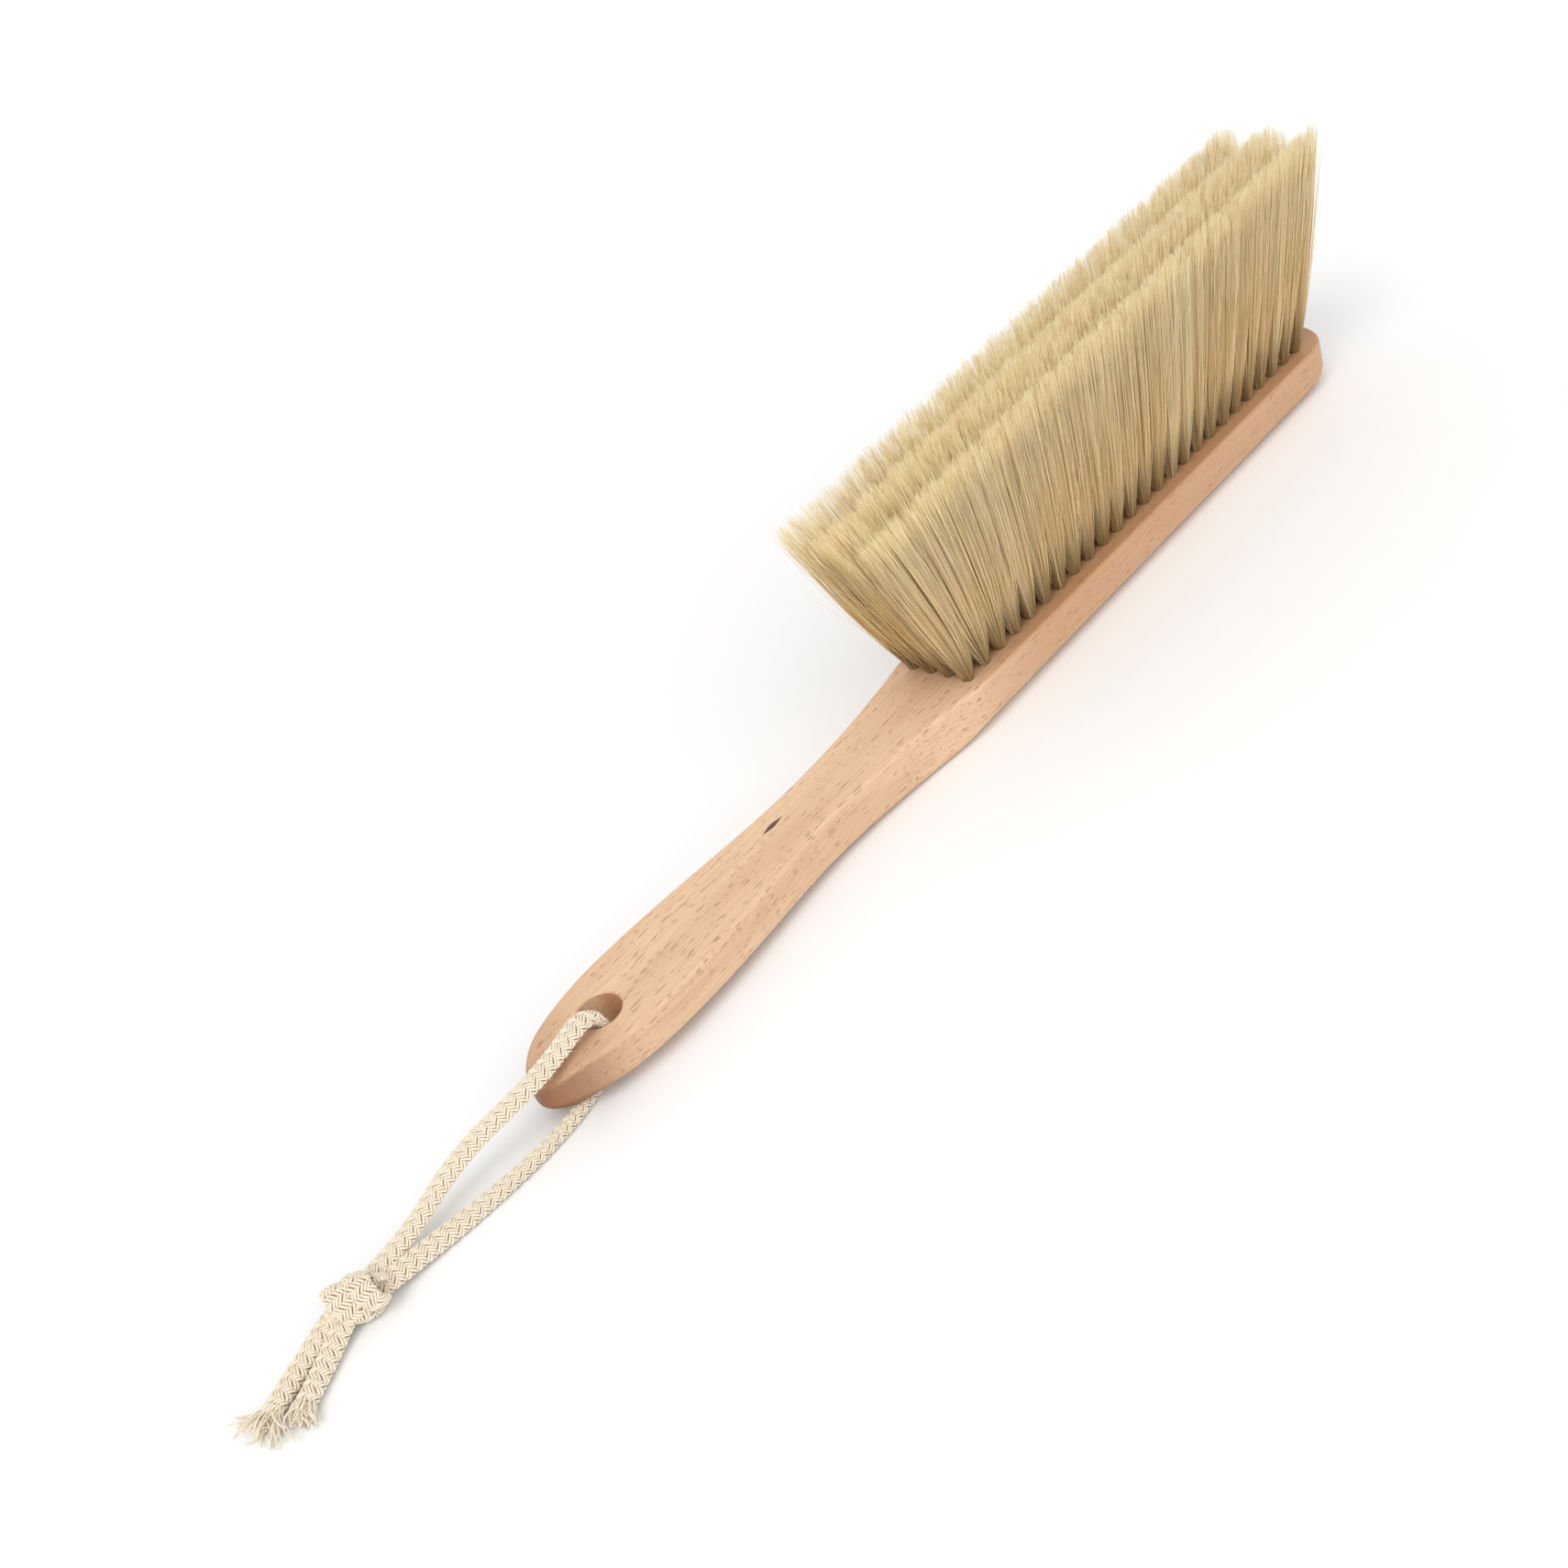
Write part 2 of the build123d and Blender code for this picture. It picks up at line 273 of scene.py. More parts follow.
class Nodes:
    """Short calls for building one material's node tree."""

    def __init__(self, material):
        self.tree = material.node_tree

    def link(self, source, target):
        self.tree.links.new(source, target)

    def node(self, kind, **inputs):
        made = self.tree.nodes.new(kind)
        for name, value in inputs.items():
            socket = made.inputs[int(name[1:])] if name.startswith("_") else made.inputs[name]
            if isinstance(value, bpy.types.NodeSocket):
                self.link(value, socket)
            else:
                socket.default_value = value
        return made

    def attribute(self, name):
        made = self.tree.nodes.new("ShaderNodeAttribute")
        made.attribute_name = name
        return made.outputs["Fac"]

    def place(self):
        return self.tree.nodes.new("ShaderNodeTexCoord").outputs["Object"]

    def normal(self):
        return self.tree.nodes.new("ShaderNodeTexCoord").outputs["Normal"]

    def stretched(self, vector, scale):
        return self.node("ShaderNodeMapping", Vector=vector, Scale=scale).outputs["Vector"]

    def noise(self, vector, detail):
        made = self.node("ShaderNodeTexNoise", Vector=vector, Scale=1.0, Detail=detail, Roughness=0.5)
        return made.outputs["Fac"]

    def math(self, operation, a, b=0.0):
        made = self.node("ShaderNodeMath", _0=a, _1=b)
        made.operation = operation
        return made.outputs[0]

    def between(self, value, low, high):
        """0 up to low, 1 from high, smooth between."""
        made = self.node("ShaderNodeMapRange", Value=value)
        made.interpolation_type = "SMOOTHSTEP"
        made.inputs["From Min"].default_value = low
        made.inputs["From Max"].default_value = high
        return made.outputs["Result"]

    def mix(self, share, a, b):
        made = self.tree.nodes.new("ShaderNodeMix")
        made.data_type = "RGBA"
        for socket, value in ((made.inputs[0], share), (made.inputs[6], a), (made.inputs[7], b)):
            if isinstance(value, bpy.types.NodeSocket):
                self.link(value, socket)
            elif isinstance(value, tuple):
                socket.default_value = (*value, 1)
            else:
                socket.default_value = value
        return made.outputs[2]

    def bump(self, height, strength, distance):
        made = self.node("ShaderNodeBump", Height=height, Strength=strength, Distance=distance)
        return made.outputs["Normal"]


def beech_material():
    """Pale beech: figure, grain, ray flecks along X, dark end grain, painted shade on the head under the
    bristles, and a darker handle end with painted shade towards its underside.
    """
    material, shader = new_material("beech", 0.5)
    n = Nodes(material)
    place = n.place()
    figure = n.noise(n.stretched(place, (9, 70, 70)), detail=3)
    grain = n.noise(n.stretched(place, (60, 1500, 1500)), detail=4)
    color = n.mix(n.between(figure, 0.32, 0.7), (0.79, 0.535, 0.345), (0.69, 0.435, 0.262))
    color = n.mix(n.math("MULTIPLY", n.between(grain, 0.4, 0.8), 0.75), color, (0.60, 0.36, 0.205))
    flecks = [ray_flecks(n, place, *fleck) for fleck in RAY_FLECKS]
    fleck = n.math("MAXIMUM", *flecks)
    color = n.mix(n.math("MULTIPLY", fleck, 0.7), color, (0.27, 0.12, 0.05))

    facing, _, upward = n.node("ShaderNodeSeparateXYZ", Vector=n.normal()).outputs
    end_grain = n.between(n.math("ABSOLUTE", facing), 0.3, 0.97)
    pores = n.node("ShaderNodeTexVoronoi", Vector=place, Scale=2300.0).outputs["Distance"]
    dark = n.mix(n.between(pores, 0.15, 0.5), (0.36, 0.145, 0.065), (0.56, 0.27, 0.135))
    color = n.mix(n.math("MULTIPLY", end_grain, 0.85), color, dark)
    x, y, _ = n.node("ShaderNodeSeparateXYZ", Vector=place).outputs
    # Painted shade: the head is darkened to a warm red-brown, most on its top, where the bristles shade it.
    bristle_shade = n.math("ADD", n.math("MULTIPLY", upward, 0.3), 0.45)
    color = n.mix(n.math("MULTIPLY", bristle_shade, n.between(x, -0.04, 0.01)), color, (0.46, 0.22, 0.09))
    # The handle end is painted darker: darker wood at the end, and painted shade that grows stronger towards
    # its underside.
    dark_end_and_shade = n.math("SUBTRACT", 0.8, n.math("MULTIPLY", upward, 0.5))
    color = n.mix(n.math("MULTIPLY", dark_end_and_shade, n.between(x, -0.164, -0.186)), color, (0.25, 0.1, 0.042))
    mark_x = n.math("DIVIDE", n.math("SUBTRACT", x, MARK_PLACE[0]), MARK_SIZE[0])
    mark_y = n.math("DIVIDE", n.math("SUBTRACT", y, MARK_PLACE[1]), MARK_SIZE[1])
    away = n.math("ADD", n.math("POWER", n.math("ABSOLUTE", mark_x), 1.5), n.math("ABSOLUTE", mark_y))
    color = n.mix(n.math("MULTIPLY", n.between(away, 1.15, 0.7), 0.93), color, (0.06, 0.022, 0.012))
    n.link(color, shader.inputs["Base Color"])

    polish = n.math("ADD", n.math("MULTIPLY", grain, 0.25), 0.36)
    n.link(polish, shader.inputs["Roughness"])
    height = n.math("SUBTRACT", n.math("MULTIPLY", grain, 0.5), fleck)
    n.link(n.bump(height, 0.35, 0.00012), shader.inputs["Normal"])
    return material


def ray_flecks(n, place, scale, rarity, size):
    """Short dark dashes along X: the longer cells of a stretched pattern, a few chosen by chance."""
    wander = n.noise(n.stretched(place, (40, 12, 12)), detail=1)
    aside, up = n.math("MULTIPLY", wander, 0.004), n.math("MULTIPLY", wander, 0.003)
    shift = n.node("ShaderNodeCombineXYZ", Y=aside, Z=up)
    bent = n.node("ShaderNodeVectorMath", _0=place, _1=shift.outputs[0]).outputs[0]
    cells = n.node("ShaderNodeTexVoronoi", Vector=n.stretched(bent, scale), Scale=1.0)
    chance = n.node("ShaderNodeSeparateColor", Color=cells.outputs["Color"]).outputs[0]
    reach = n.math("MULTIPLY", n.between(chance, rarity, 1.0), size)
    return n.between(n.math("SUBTRACT", reach, cells.outputs["Distance"]), 0.0, 0.1)


def bristle_material():
    """Pale straw bristle, with painted shade darkening it towards the wood, each strand a little different.
    """
    material, shader = new_material("bristle", 0.5)
    n = Nodes(material)
    along = n.attribute("along")
    tone = n.attribute("tone")
    # Painted shade: darker towards the wood, where the bristles lie deep among one another; paler towards
    # the tips.
    color = n.mix(n.between(along, -0.02, 0.32), (0.38, 0.23, 0.09), (0.97, 0.735, 0.39))
    color = n.mix(n.between(along, 0.3, 1.0), color, (1.0, 0.845, 0.52))
    color = n.mix(n.between(tone, 0.55, 1.0), color, (1.0, 0.90, 0.62))
    color = n.mix(n.math("MULTIPLY", n.between(tone, 0.42, 0.08), 0.75), color, (0.58, 0.37, 0.15))
    n.link(color, shader.inputs["Base Color"])
    shader.inputs["Specular IOR Level"].default_value = 0.2
    return material


def cotton_material():
    """Unbleached cotton yarn: cream, with painted shade in tan where a strand dips under and on the filling
    between the strands, with the twist of its plies.
    """
    material, shader = new_material("cotton", 0.92)
    n = Nodes(material)
    depth = n.attribute("depth")
    tone = n.attribute("tone")
    lay = n.tree.nodes.new("ShaderNodeAttribute")
    lay.attribute_name = "lay"
    wave = n.node("ShaderNodeTexWave", Vector=lay.outputs["Vector"], Scale=1.0, Distortion=1.2)
    wave.inputs["Detail"].default_value = 2.0
    wave.bands_direction = "DIAGONAL"
    ply = wave.outputs["Fac"]
    # Painted shade: tan where a strand dips under another, and on the filling seen between the strands.
    color = n.mix(n.between(depth, 0.2, 0.95), (0.62, 0.46, 0.295), (0.89, 0.79, 0.63))
    color = n.mix(n.math("MULTIPLY", tone, 0.3), color, (0.92, 0.85, 0.72))
    color = n.mix(n.math("MULTIPLY", ply, 0.16), color, (0.60, 0.48, 0.33))
    n.link(color, shader.inputs["Base Color"])
    fibre = n.noise(n.stretched(n.place(), (9000, 9000, 9000)), detail=2)
    height = n.math("ADD", ply, n.math("MULTIPLY", fibre, 0.6))
    n.link(n.bump(height, 0.5, 0.00008), shader.inputs["Normal"])
    shader.inputs["Sheen Weight"].default_value = 0.35
    shader.inputs["Sheen Roughness"].default_value = 0.5
    return material


def wire_material():
    """Galvanised wire: grey, with fine draw lines."""
    material, shader = new_material("wire", 0.4)
    n = Nodes(material)
    lines = n.noise(n.stretched(n.place(), (3000, 200, 9000)), detail=2)
    n.link(n.mix(lines, (0.55, 0.55, 0.54), (0.38, 0.38, 0.37)), shader.inputs["Base Color"])
    shader.inputs["Metallic"].default_value = 1.0
    return material


# ---------------------------------------------------------------- cord

def route_line(route, step):
    """Points step apart along the smooth curve that has the route as its control points."""
    curve = bpy.data.curves.new("route", "CURVE")
    curve.dimensions = "3D"
    curve.resolution_u = 24
    spline = curve.splines.new("NURBS")
    spline.points.add(len(route) - 1)
    for point, place in zip(spline.points, route):
        point.co = (*place, 1)
    spline.order_u = 3
    spline.use_endpoint_u = True
    holder = add_object("route", curve)
    mesh = bpy.data.meshes.new_from_object(holder)
    line = np.array([vertex.co for vertex in mesh.vertices])
    bpy.data.objects.remove(holder)
    bpy.data.meshes.remove(mesh)
    return evenly(line, step)


def evenly(line, step):
    """The same line with its points about step apart."""
    far = np.concatenate([[0], np.cumsum(np.linalg.norm(np.diff(line, axis=0), axis=1))])
    wanted = np.linspace(0, far[-1], int(round(far[-1] / step)) + 1)
    return np.stack([np.interp(wanted, far, line[:, axis]) for axis in range(3)], -1)


def carried_across(line, start):
    """The braid's wide direction at each point, carried along the line from its last point without twist."""
    along = unit(np.gradient(line, axis=0))
    across = np.empty_like(line)
    current = np.array(start, float)
    for index in range(len(line) - 1, -1, -1):
        current = current - along[index] * (current @ along[index])
        current = current / np.linalg.norm(current)
        across[index] = current
    return across


def oval_angles(half_width, half_height, shares):
    """The angles of points that lie at these shares of the way round an oval."""
    angles = np.linspace(0, 2 * np.pi, 721)
    rim = np.stack([half_width * np.cos(angles), half_height * np.sin(angles)], -1)
    far = np.concatenate([[0], np.cumsum(np.linalg.norm(np.diff(rim, axis=0), axis=1))])
    return np.interp(np.mod(shares, 1), far / far[-1], angles)


def braid_yarns(line, across, width, thickness):
    """Centre lines of the braid's yarns, the way each faces, and how high each lies in the weave."""
    along = unit(np.gradient(line, axis=0))
    up = np.cross(across, along)
    up *= np.sign(up[len(up) // 2, 2]) or 1
    step = np.linalg.norm(np.diff(line, axis=0), axis=1).mean()
    far = np.arange(len(line)) * step
    inset = 2 * (YARN_RADIUS + YARN_LIFT)
    half_width = (width - inset) / 2 * np.ones(len(line))
    half_height = (thickness - inset) / 2
    beside = 1 / (STRANDS_EACH_WAY * YARNS_PER_STRAND)
    lines, facings, depths = [], [], []
    for way in (1, -1):
        for strand in range(STRANDS_EACH_WAY):
            for yarn in range(YARNS_PER_STRAND):
                offset = (yarn - (YARNS_PER_STRAND - 1) / 2) * beside * YARN_CLOSENESS
                share = strand / STRANDS_EACH_WAY + way * far / BRAID_PITCH
                over = way * np.tanh(1.6 * np.cos(2 * np.pi * STRANDS_EACH_WAY * share)) / np.tanh(1.6)
                angle = oval_angles(half_width.max(), half_height, share + offset)
                cosine, sine = np.cos(angle)[:, None], np.sin(angle)[:, None]
                lift = (YARN_LIFT * over)[:, None]
                half = half_width[:, None]
                lines.append(line + across * (half + lift) * cosine + up * (half_height + lift) * sine)
                facings.append(unit(across * cosine * half_height + up * sine * half))
                depths.append((over + 1) / 2)
    return np.array(lines), np.array(facings), np.array(depths)


def core_rings(line, across, width, thickness, sides=20):
    """Rings of the oval filling inside a braid, which shows between its strands."""
    up = np.cross(across, unit(np.gradient(line, axis=0)))
    angle = np.linspace(0, 2 * np.pi, sides, endpoint=False)[None, :, None]
    inset = YARN_RADIUS + 2 * YARN_LIFT
    half_width = (width / 2 - inset) * np.ones(len(line))
    wide = across[:, None] * half_width[:, None, None] * np.cos(angle)
    return line[:, None] + wide + up[:, None] * (thickness / 2 - inset) * np.sin(angle)


def add_core(name, rings, material):
    mesh = tube_mesh(name, rings)
    # The filling gets the tan painted shade of the gaps between strands.
    paint(mesh, "depth", np.full(len(mesh.vertices), CORE_DEPTH))
    return ride_loop(add_object(name, mesh), material)


def yarn_mesh(name, lines, facings, depths, radii, rng, sides=6):
    """Yarns as tubes, with their depth in the weave, a tone each, and the lay of their twist."""
    rings = rings_round(lines, radii, sides, facings)
    count, levels = lines.shape[:2]
    mesh = tube_mesh(name, rings)
    paint(mesh, "depth", np.repeat(depths, sides, axis=1))
    paint(mesh, "tone", np.repeat(rng.random(count), levels * sides))
    far = np.concatenate([np.zeros((count, 1)), np.cumsum(
        np.linalg.norm(np.diff(lines, axis=1), axis=-1), axis=1)], axis=1)
    ring_lay = np.repeat(far / MM, sides, axis=1).ravel()
    ring_turn = np.tile(np.arange(sides) / sides, count * levels)
    corners = np.empty(len(mesh.loops), np.int32)
    mesh.loops.foreach_get("vertex_index", corners)
    turn = ring_turn[corners]
    quads = turn[: count * (levels - 1) * sides * 4].reshape(-1, 4)
    quads[:, 1:3] = np.where(quads[:, :1] > quads[:, 1:3], quads[:, 1:3] + 1, quads[:, 1:3])
    lay = np.stack([ring_lay[corners] * 1.1, turn * 1.3, np.zeros(len(corners))], -1)
    layer = mesh.attributes.new("lay", "FLOAT_VECTOR", "CORNER")
    layer.data.foreach_set("vector", lay.astype(np.float32).ravel())
    return mesh


def ride_loop(piece, material, *nodes):
    piece.data.materials.append(material)
    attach(piece, "loop")
    if nodes:
        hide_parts(*nodes)
    return piece


def add_knot(material, rng):
    """The overhand knot: two bands of braid wound half a turn apart, their ends tucked in, round a core."""
    low, high = (np.array(corner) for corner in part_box("cord_knot"))
    axis = np.array([math.cos(KNOT_YAW), math.sin(KNOT_YAW), 0])
    centre = (low + high) / 2 + KNOT_SHIFT * axis
    side = np.array([-axis[1], axis[0], 0])
    up = np.array([0, 0, 1.0])
    share = np.linspace(-1, 1, 330)
    travel = share * (KNOT_HALF_LENGTH - 0.42 * KNOT_BAND_WIDTH)
    barrel = np.sqrt(1 - np.abs(share) ** 3.2 * 0.9)
    radius = (KNOT_RADIUS - KNOT_BAND_THICKNESS / 2) * barrel
    parts, cores = [], []
    for start in (0, np.pi):
        turn = KNOT_START + start + 2 * np.pi * travel / KNOT_PITCH
        out = np.cos(turn)[:, None] * side + np.sin(turn)[:, None] * up
        line = evenly(centre + travel[:, None] * axis + radius[:, None] * out, BRAID_STEP)
        spokes = line - centre
        spokes = unit(spokes - (spokes @ axis)[:, None] * axis)
        across = unit(np.cross(unit(np.gradient(line, axis=0)), spokes))
        width = KNOT_BAND_WIDTH * (1 - 0.5 * np.linspace(-1, 1, len(line)) ** 6)
        parts.append(braid_yarns(line, across, width, KNOT_BAND_THICKNESS))
        cores.append(core_rings(line, across, width, KNOT_BAND_THICKNESS))
    shortest = min(part[0].shape[1] for part in parts)
    lines, facings, depths = (np.concatenate([part[i][:, :shortest] for part in parts]) for i in range(3))
    lines[..., 2] = np.maximum(lines[..., 2], YARN_RADIUS)
    mesh = yarn_mesh("cord_knot", lines, facings, depths, np.full(lines.shape[:2], YARN_RADIUS), rng)
    knot = ride_loop(add_object("overhand_knot", mesh), material, "cord_knot")
    return knot, add_core("knot_filling", np.array([core[:shortest] for core in cores]), material)


def add_knot_core(material):
    """The doubled cord inside the knot, seen only between the bands."""
    low, high = (np.array(corner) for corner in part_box("cord_knot"))
    axis = np.array([math.cos(KNOT_YAW), math.sin(KNOT_YAW), 0])
    centre = (low + high) / 2 + KNOT_SHIFT * axis
    share = np.linspace(-1, 1, 40)
    line = centre + share[:, None] * (KNOT_HALF_LENGTH - 0.7 * KNOT_BAND_WIDTH) * axis
    radii = (KNOT_RADIUS - 0.8 * KNOT_BAND_THICKNESS) * np.sqrt(1 - 0.96 * np.abs(share) ** 3)
    facing = np.zeros((1, len(line), 3)) + (0, 0, 1.0)
    return add_core("knot_core", rings_round(line[None], radii[None], 32, facing), material)


def bent_lines(start, heading, finish, levels):
    """Lines that leave start along heading and end at finish."""
    share = np.linspace(0, 1, levels)[None, :, None]
    middle = start + heading
    return (
        (1 - share) ** 2 * start[:, None] + 2 * share * (1 - share) * middle[:, None]
        + share**2 * finish[:, None]
    )


def add_fray(name, tail, yarns, fan, reach, node, material, rng):
    """The tail's yarns past its end, loose and curling, fanned out between two angles on the surface."""
    forward = unit(unit(tail[-1] - tail[-8]) * (1, 1, 0))
    sideways = np.array([-forward[1], forward[0], 0])
    start = np.repeat(yarns[:, -1], PLIES_PER_YARN, axis=0)
    start = start + rng.normal(0, 0.12 * MM, start.shape)
    heading = np.repeat(unit(yarns[:, -1] - yarns[:, -4]), PLIES_PER_YARN, axis=0)
    heading = (heading + forward) * rng.uniform(1.2, 2.6, (len(start), 1)) * MM
    count = len(start)
    place = (start - tail[-1]) @ sideways
    order = np.clip(place / BRAID_WIDTH + 0.5 + rng.normal(0, 0.16, count), 0, 1)
    angle = np.radians(fan[0] + (fan[1] - fan[0]) * order)
    length = rng.uniform(*reach, count) * MM
    away = forward * np.cos(angle)[:, None] + sideways * np.sin(angle)[:, None]
    finish = tail[-1] + away * length[:, None] + sideways * place[:, None] * 0.6
    finish[:, 2] = rng.uniform(0.3, 2.3, count) * MM
    lines = bent_lines(start, heading, finish, FRAY_LEVELS)
    fade = np.linspace(0, 1, FRAY_LEVELS)[None, :]
    for direction in (sideways, np.array([0, 0, 1.0])):
        speed, first = rng.uniform(2.5, 6.5, (count, 1)), rng.uniform(0, 6, (count, 1))
        curl = (np.sin(fade * speed + first) - np.sin(first)) * fade * rng.uniform(0.3, 1.1, (count, 1)) * MM
        lines = lines + direction * curl[..., None]
    lines[..., 2] = np.clip(lines[..., 2], YARN_RADIUS, 3.4 * MM)
    facings = np.zeros_like(lines) + (0, 0, 1.0)
    radii = YARN_RADIUS * np.linspace(0.9, 0.65, FRAY_LEVELS)[None, :] * rng.uniform(0.75, 1.1, (count, 1))
    mesh = yarn_mesh(name, lines, facings, np.full(lines.shape[:2], 0.85), radii, rng)
    return ride_loop(add_object(name, mesh), material, node)


def add_fuzz(name, yarns, facings, material, rng):
    """Short fine fibres that stand out of the braid, most of them near the hole."""
    count = FUZZ_FIBRES
    levels = 5
    line = rng.integers(0, yarns.shape[0], count)
    level = (rng.random(count) ** 1.5 * (yarns.shape[1] - 2)).astype(int)
    start = yarns[line, level]
    out = facings[line, level] + rng.normal(0, 0.45, (count, 3))
    length = FUZZ_LENGTH * rng.uniform(0.4, 1.0, (count, 1))
    bend = rng.normal(0, 0.45, (count, 3)) * length
    share = np.linspace(0, 1, levels)[None, :, None]
    lines = start[:, None] + share * (unit(out) * length)[:, None] + share**2 * bend[:, None]
    lines[..., 2] = np.maximum(lines[..., 2], FUZZ_RADIUS)
    facing = np.zeros_like(lines) + (0.3, 0.5, 1.0)
    mesh = tube_mesh(name, rings_round(lines, np.full(lines.shape[:2], FUZZ_RADIUS), 3, facing))
    paint(mesh, "depth", np.full(len(mesh.vertices), 1.0))
    return ride_loop(add_object(name, mesh), material)


def add_stretch(name, route, nodes, pulled, material, rng):
    """One stretch of the cord: its braid and filling, the line it follows, its yarns and how they face."""
    line = route_line(route, BRAID_STEP)
    across = carried_across(line, np.cross(line[-1] - line[-2], (0, 0, 1)))
    share = np.linspace(0, 1, len(line))
    width = BRAID_WIDTH * np.interp(share, [0, 0.3, 0.6, 1], [pulled, pulled, 1, 1])
    lines, facings, depths = braid_yarns(line, across, width, BRAID_THICKNESS)
    radii = np.full(lines.shape[:2], YARN_RADIUS) * (width / BRAID_WIDTH) ** 0.5
    mesh = yarn_mesh(name, lines, facings, depths, radii, rng)
    core = add_core(f"{name}_core", core_rings(line, across, width, BRAID_THICKNESS)[None], material)
    return ride_loop(add_object(name, mesh), material, *nodes), core, line, lines, facings


def add_loop(rng):
    """The hanging loop: two legs out of the hole, tied together in the knot, each with a frayed tail."""
    material = cotton_material()
    knot = [*add_knot(material, rng), add_knot_core(material)]
    stretches = (
        ("upper", UPPER_LEG + LEFT_TAIL, 1.0, "left", knot),
        ("lower", LOWER_LEG + RIGHT_TAIL, PULLED_SHARE, "right", []),
    )
    for leg, route, pulled, side, on_it in stretches:
        nodes = (f"cord_{leg}_leg", f"cord_{side}_tail")
        name = f"braid_{leg}"
        piece, core, line, yarns, facings = add_stretch(name, route, nodes, pulled, material, rng)
        fray = add_fray(f"yarns_{side}", line, yarns, *FRAY_FANS[side], f"frayed_end_{side}", material, rng)
        fuzz = add_fuzz(f"fuzz_{leg}", yarns, facings, material, rng)


# ---------------------------------------------------------------- bristles

def tuft_sizes(node):
    """Where a rank's tufts leave the wood and where their tips are, from the CAD node."""
    near = 0.01 * MM
    points = np.array([vertex.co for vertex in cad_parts[node].data.vertices])
    tips = points[points[:, 2] > points[:, 2].max() - near]
    mouth = points[np.abs(points[:, 2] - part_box("wooden_body")[1][2]) < near]
    return mouth.min(0), mouth.max(0), tips.min(0), tips.max(0)


def disc_points(count, rng):
    """Points spread evenly over a disc of radius 1, a little uneven."""
    index = np.arange(count) + 0.5
    radius = np.sqrt(index / count)
    angle = index * math.pi * (3 - math.sqrt(5)) + rng.random() * 6
    points = np.stack([radius * np.cos(angle), radius * np.sin(angle)], -1)
    return points + rng.normal(0, 0.03, points.shape)


def squared(points):
    """The disc's points pushed out towards the corners of the square round it, so that tufts fill in."""
    longest = np.abs(points).max(axis=1, keepdims=True)
    radius = np.linalg.norm(points, axis=1, keepdims=True)
    return points * (1 + 0.6 * (radius / np.maximum(longest, 1e-6) - 1))


def drawn_together(points, count, share, rng):
    """The tips drawn towards the nearest of a few random places, as bristles cling in wisps."""
    wisps = rng.uniform(-1, 1, (count, 2))
    distance = np.sqrt(((points[:, None] - wisps[None]) ** 2).sum(-1))
    nearest = np.argmin(distance, axis=1)
    return points + share * (wisps[nearest] - points), nearest, distance.min(axis=1)


def tuft_strands(mouth, radius, tip, reach, ridge, rng):
    """Centre lines of one tuft's bristles, and a tone for each."""
    base = disc_points(STRANDS_PER_TUFT, rng)
    count = len(base)
    even = squared(base) + rng.normal(0, 0.1, base.shape)
    ends, wisp, off = drawn_together(even, WISPS_PER_TUFT, WISP_PULL, rng)
    stray = rng.random((count, 1)) < STRAY_SHARE
    ends = ends + rng.normal(0, 0.05, ends.shape) + stray * rng.normal(0, 0.8, ends.shape)
    ridge_middle, ridge_half = ridge
    tip_y = tip[1] + reach[1] * ends[:, 1]
    below = RIDGE_DROP * ((np.abs(tip_y) - ridge_middle) / ridge_half) ** 2
    trim = -below - WISP_POINT * off**2 - np.abs(rng.normal(0, WISP_UNEVEN, WISPS_PER_TUFT))[wisp]
    trim = trim + rng.normal(0, TIP_UNEVEN, count) - rng.exponential(TIP_SHORT, count)
    share = BRISTLE_LEVELS[None, :]
    rise = np.clip(share, 0, 1)
    lean = rise**1.2
    spread = 1 - (1 - rise) ** 3.1
    sway = rng.uniform(-1, 1, (count, 2)) * SWAY
    bow = np.sin(np.pi * rise) * rise
    sides = []
    for side in range(2):
        place = even[:, side:side + 1] + (ends - even)[:, side:side + 1] * rise**1.7
        middle = mouth[side] + (tip[side] - mouth[side]) * lean
        narrow = (1 - spread) * 0.9 * radius * base[:, side:side + 1]
        sides.append(middle + narrow + spread * reach[side] * place + sway[:, side:side + 1] * bow)
    z = mouth[2] + share * (tip[2] - mouth[2] + trim[:, None])
    tone = 0.45 * rng.random(WISPS_PER_TUFT)[wisp] + 0.55 * rng.random(count)
    return np.stack([*sides, z], -1), tone


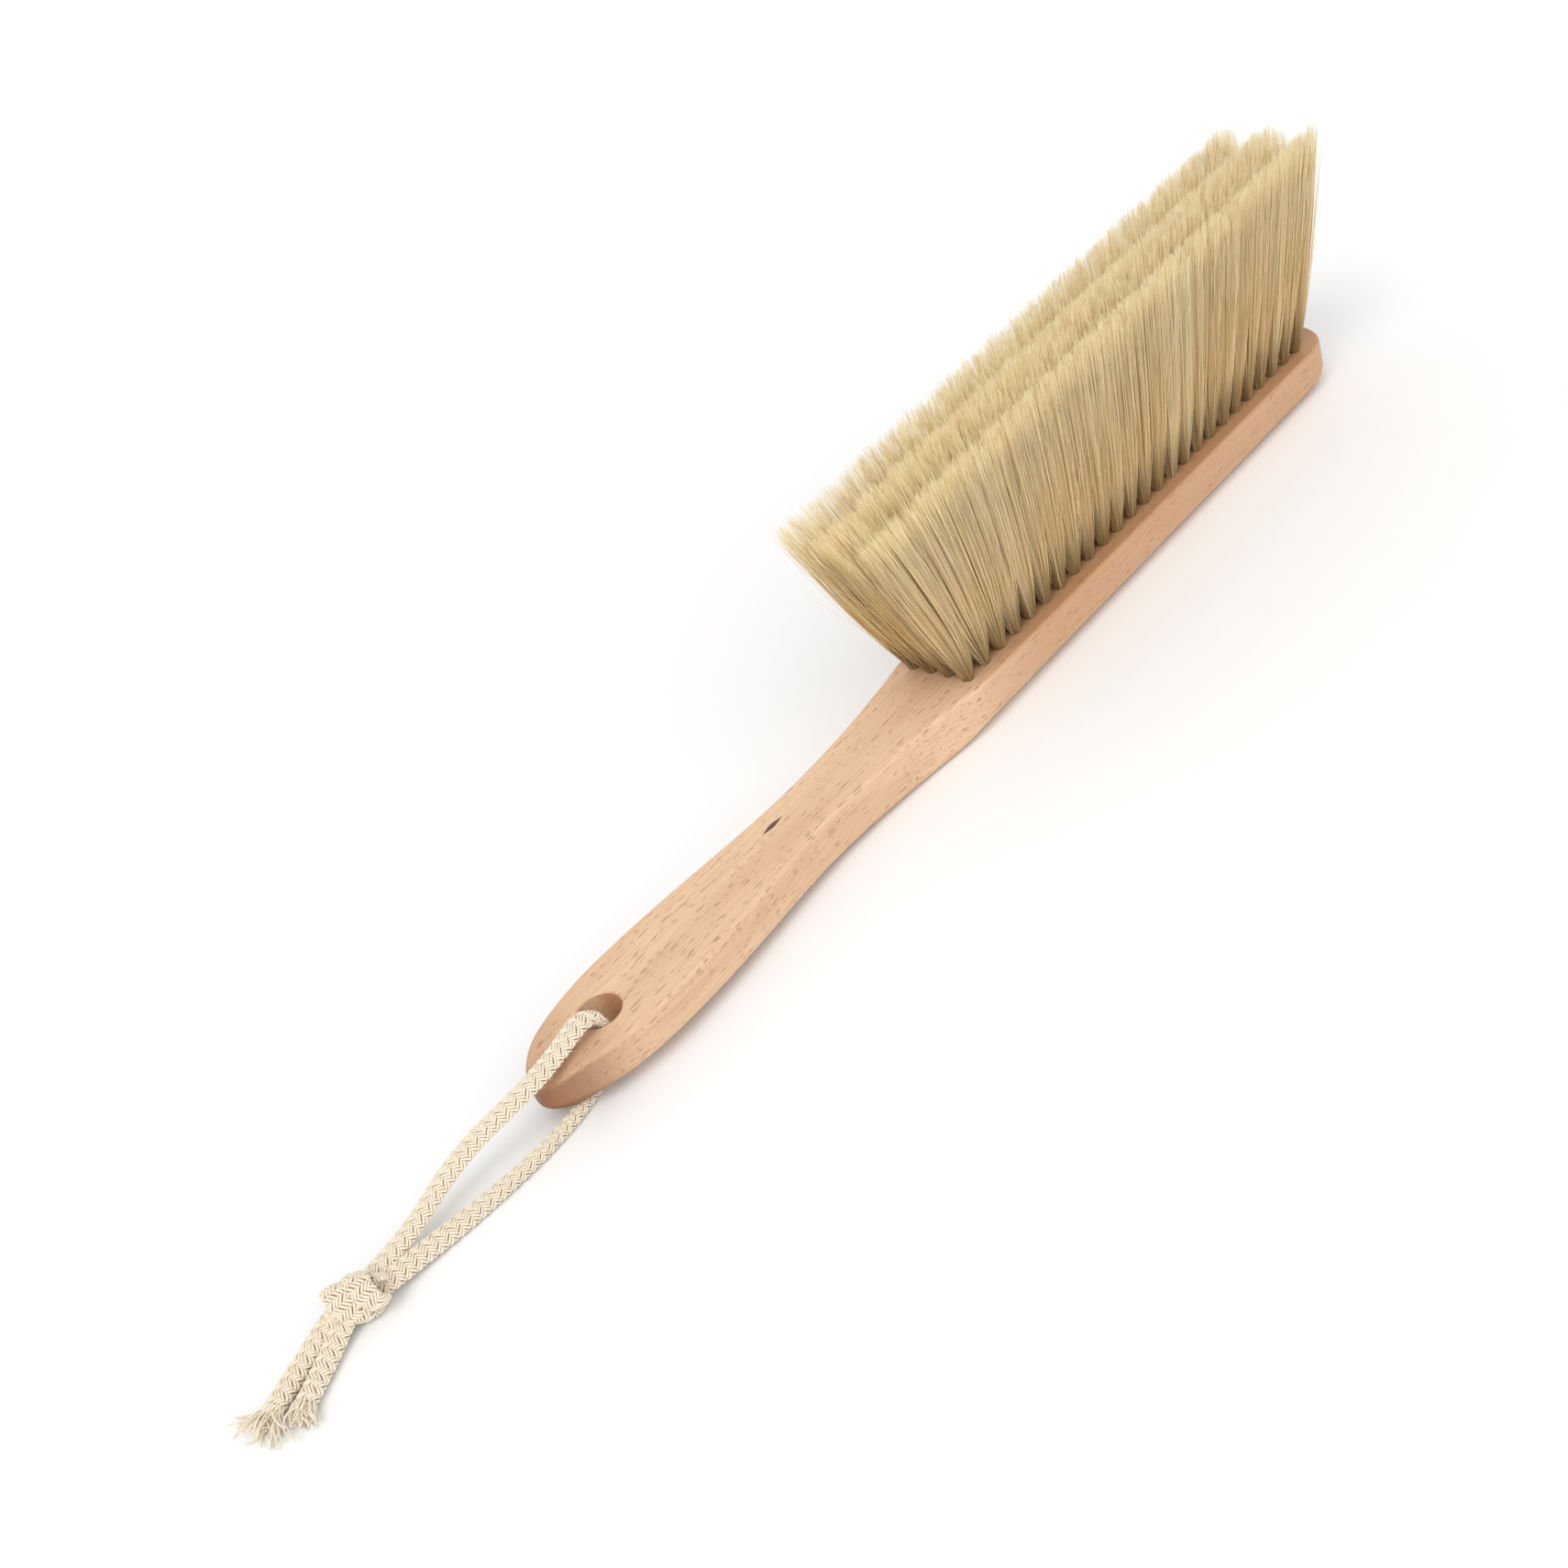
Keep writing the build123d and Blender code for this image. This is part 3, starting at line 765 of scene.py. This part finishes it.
def rank_strands(node, lean_share, rng):
    """The bristles of one rank's four tufts: two rows a side, the middle rows' tips close together."""
    mouth_low, mouth_high, tip_low, tip_high = tuft_sizes(node)
    radius = (mouth_high[0] - mouth_low[0]) / 2
    row_pitch = (mouth_high[1] - mouth_low[1] - 2 * radius) / (ROWS - 1)
    reach = ((tip_high[0] - tip_low[0]) / 2 * TIP_OVERLAP, (tip_high[1] - tip_low[1]) / ROWS / 2)
    mouth_x = (mouth_low[0] + mouth_high[0]) / 2
    tip_x = mouth_x + lean_share * ((tip_low[0] + tip_high[0]) / 2 - mouth_x)
    tufts = []
    for row in range(ROWS):
        offset = row - (ROWS - 1) / 2
        outer = abs(offset) > 1
        tip_y = math.copysign(OUTER_ROW_TIPS if outer else INNER_ROW_TIPS, offset)
        ridge = OUTER_RIDGE if outer else INNER_RIDGE
        mouth = (mouth_x, offset * row_pitch, mouth_high[2])
        tufts.append(tuft_strands(mouth, radius, (tip_x, tip_y, tip_high[2]), reach, ridge, rng))
    return (np.concatenate(parts) for parts in zip(*tufts))


def add_bristles(rng):
    """A piece for each rank of tufts."""
    material = bristle_material()
    ranks = sorted(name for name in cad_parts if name.startswith("tuft_rank_"))
    for node, lean_share in zip(ranks, np.linspace(*LEAN_SHARES, len(ranks))):
        lines, tones = rank_strands(node, lean_share, rng)
        count, levels = lines.shape[:2]
        taper = BRISTLE_RADIUS * np.interp(BRISTLE_LEVELS, [0, 0.6, 1], [1, 0.9, 0.4])
        radii = taper[None, :] * rng.uniform(0.8, 1.15, (count, 1))
        facing = np.zeros_like(lines) + (0, 1.0, 0)
        mesh = tube_mesh(node.replace("tuft", "bristles"), rings_round(lines, radii, BRISTLE_SIDES, facing))
        along = np.broadcast_to(BRISTLE_LEVELS[None, :, None], (count, levels, BRISTLE_SIDES))
        paint(mesh, "along", along)
        paint(mesh, "tone", np.repeat(tones, levels * BRISTLE_SIDES))
        piece = add_object(mesh.name, mesh)
        piece.data.materials.append(material)
        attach(piece, "brush")
        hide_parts(node)


# ---------------------------------------------------------------- CAD nodes that stay

def finish_cad_nodes():
    """The wooden body and the wire anchors keep their CAD shape and get their real materials."""
    beech, wire = beech_material(), wire_material()
    for name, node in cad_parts.items():
        material = wire if name.startswith("anchor_rank_") else beech if name == "wooden_body" else None
        if material:
            node.data.materials.clear()
            node.data.materials.append(material)


rng = np.random.default_rng(SEED)
add_camera()
add_loop(rng)
add_studio()
add_bristles(rng)
finish_cad_nodes()
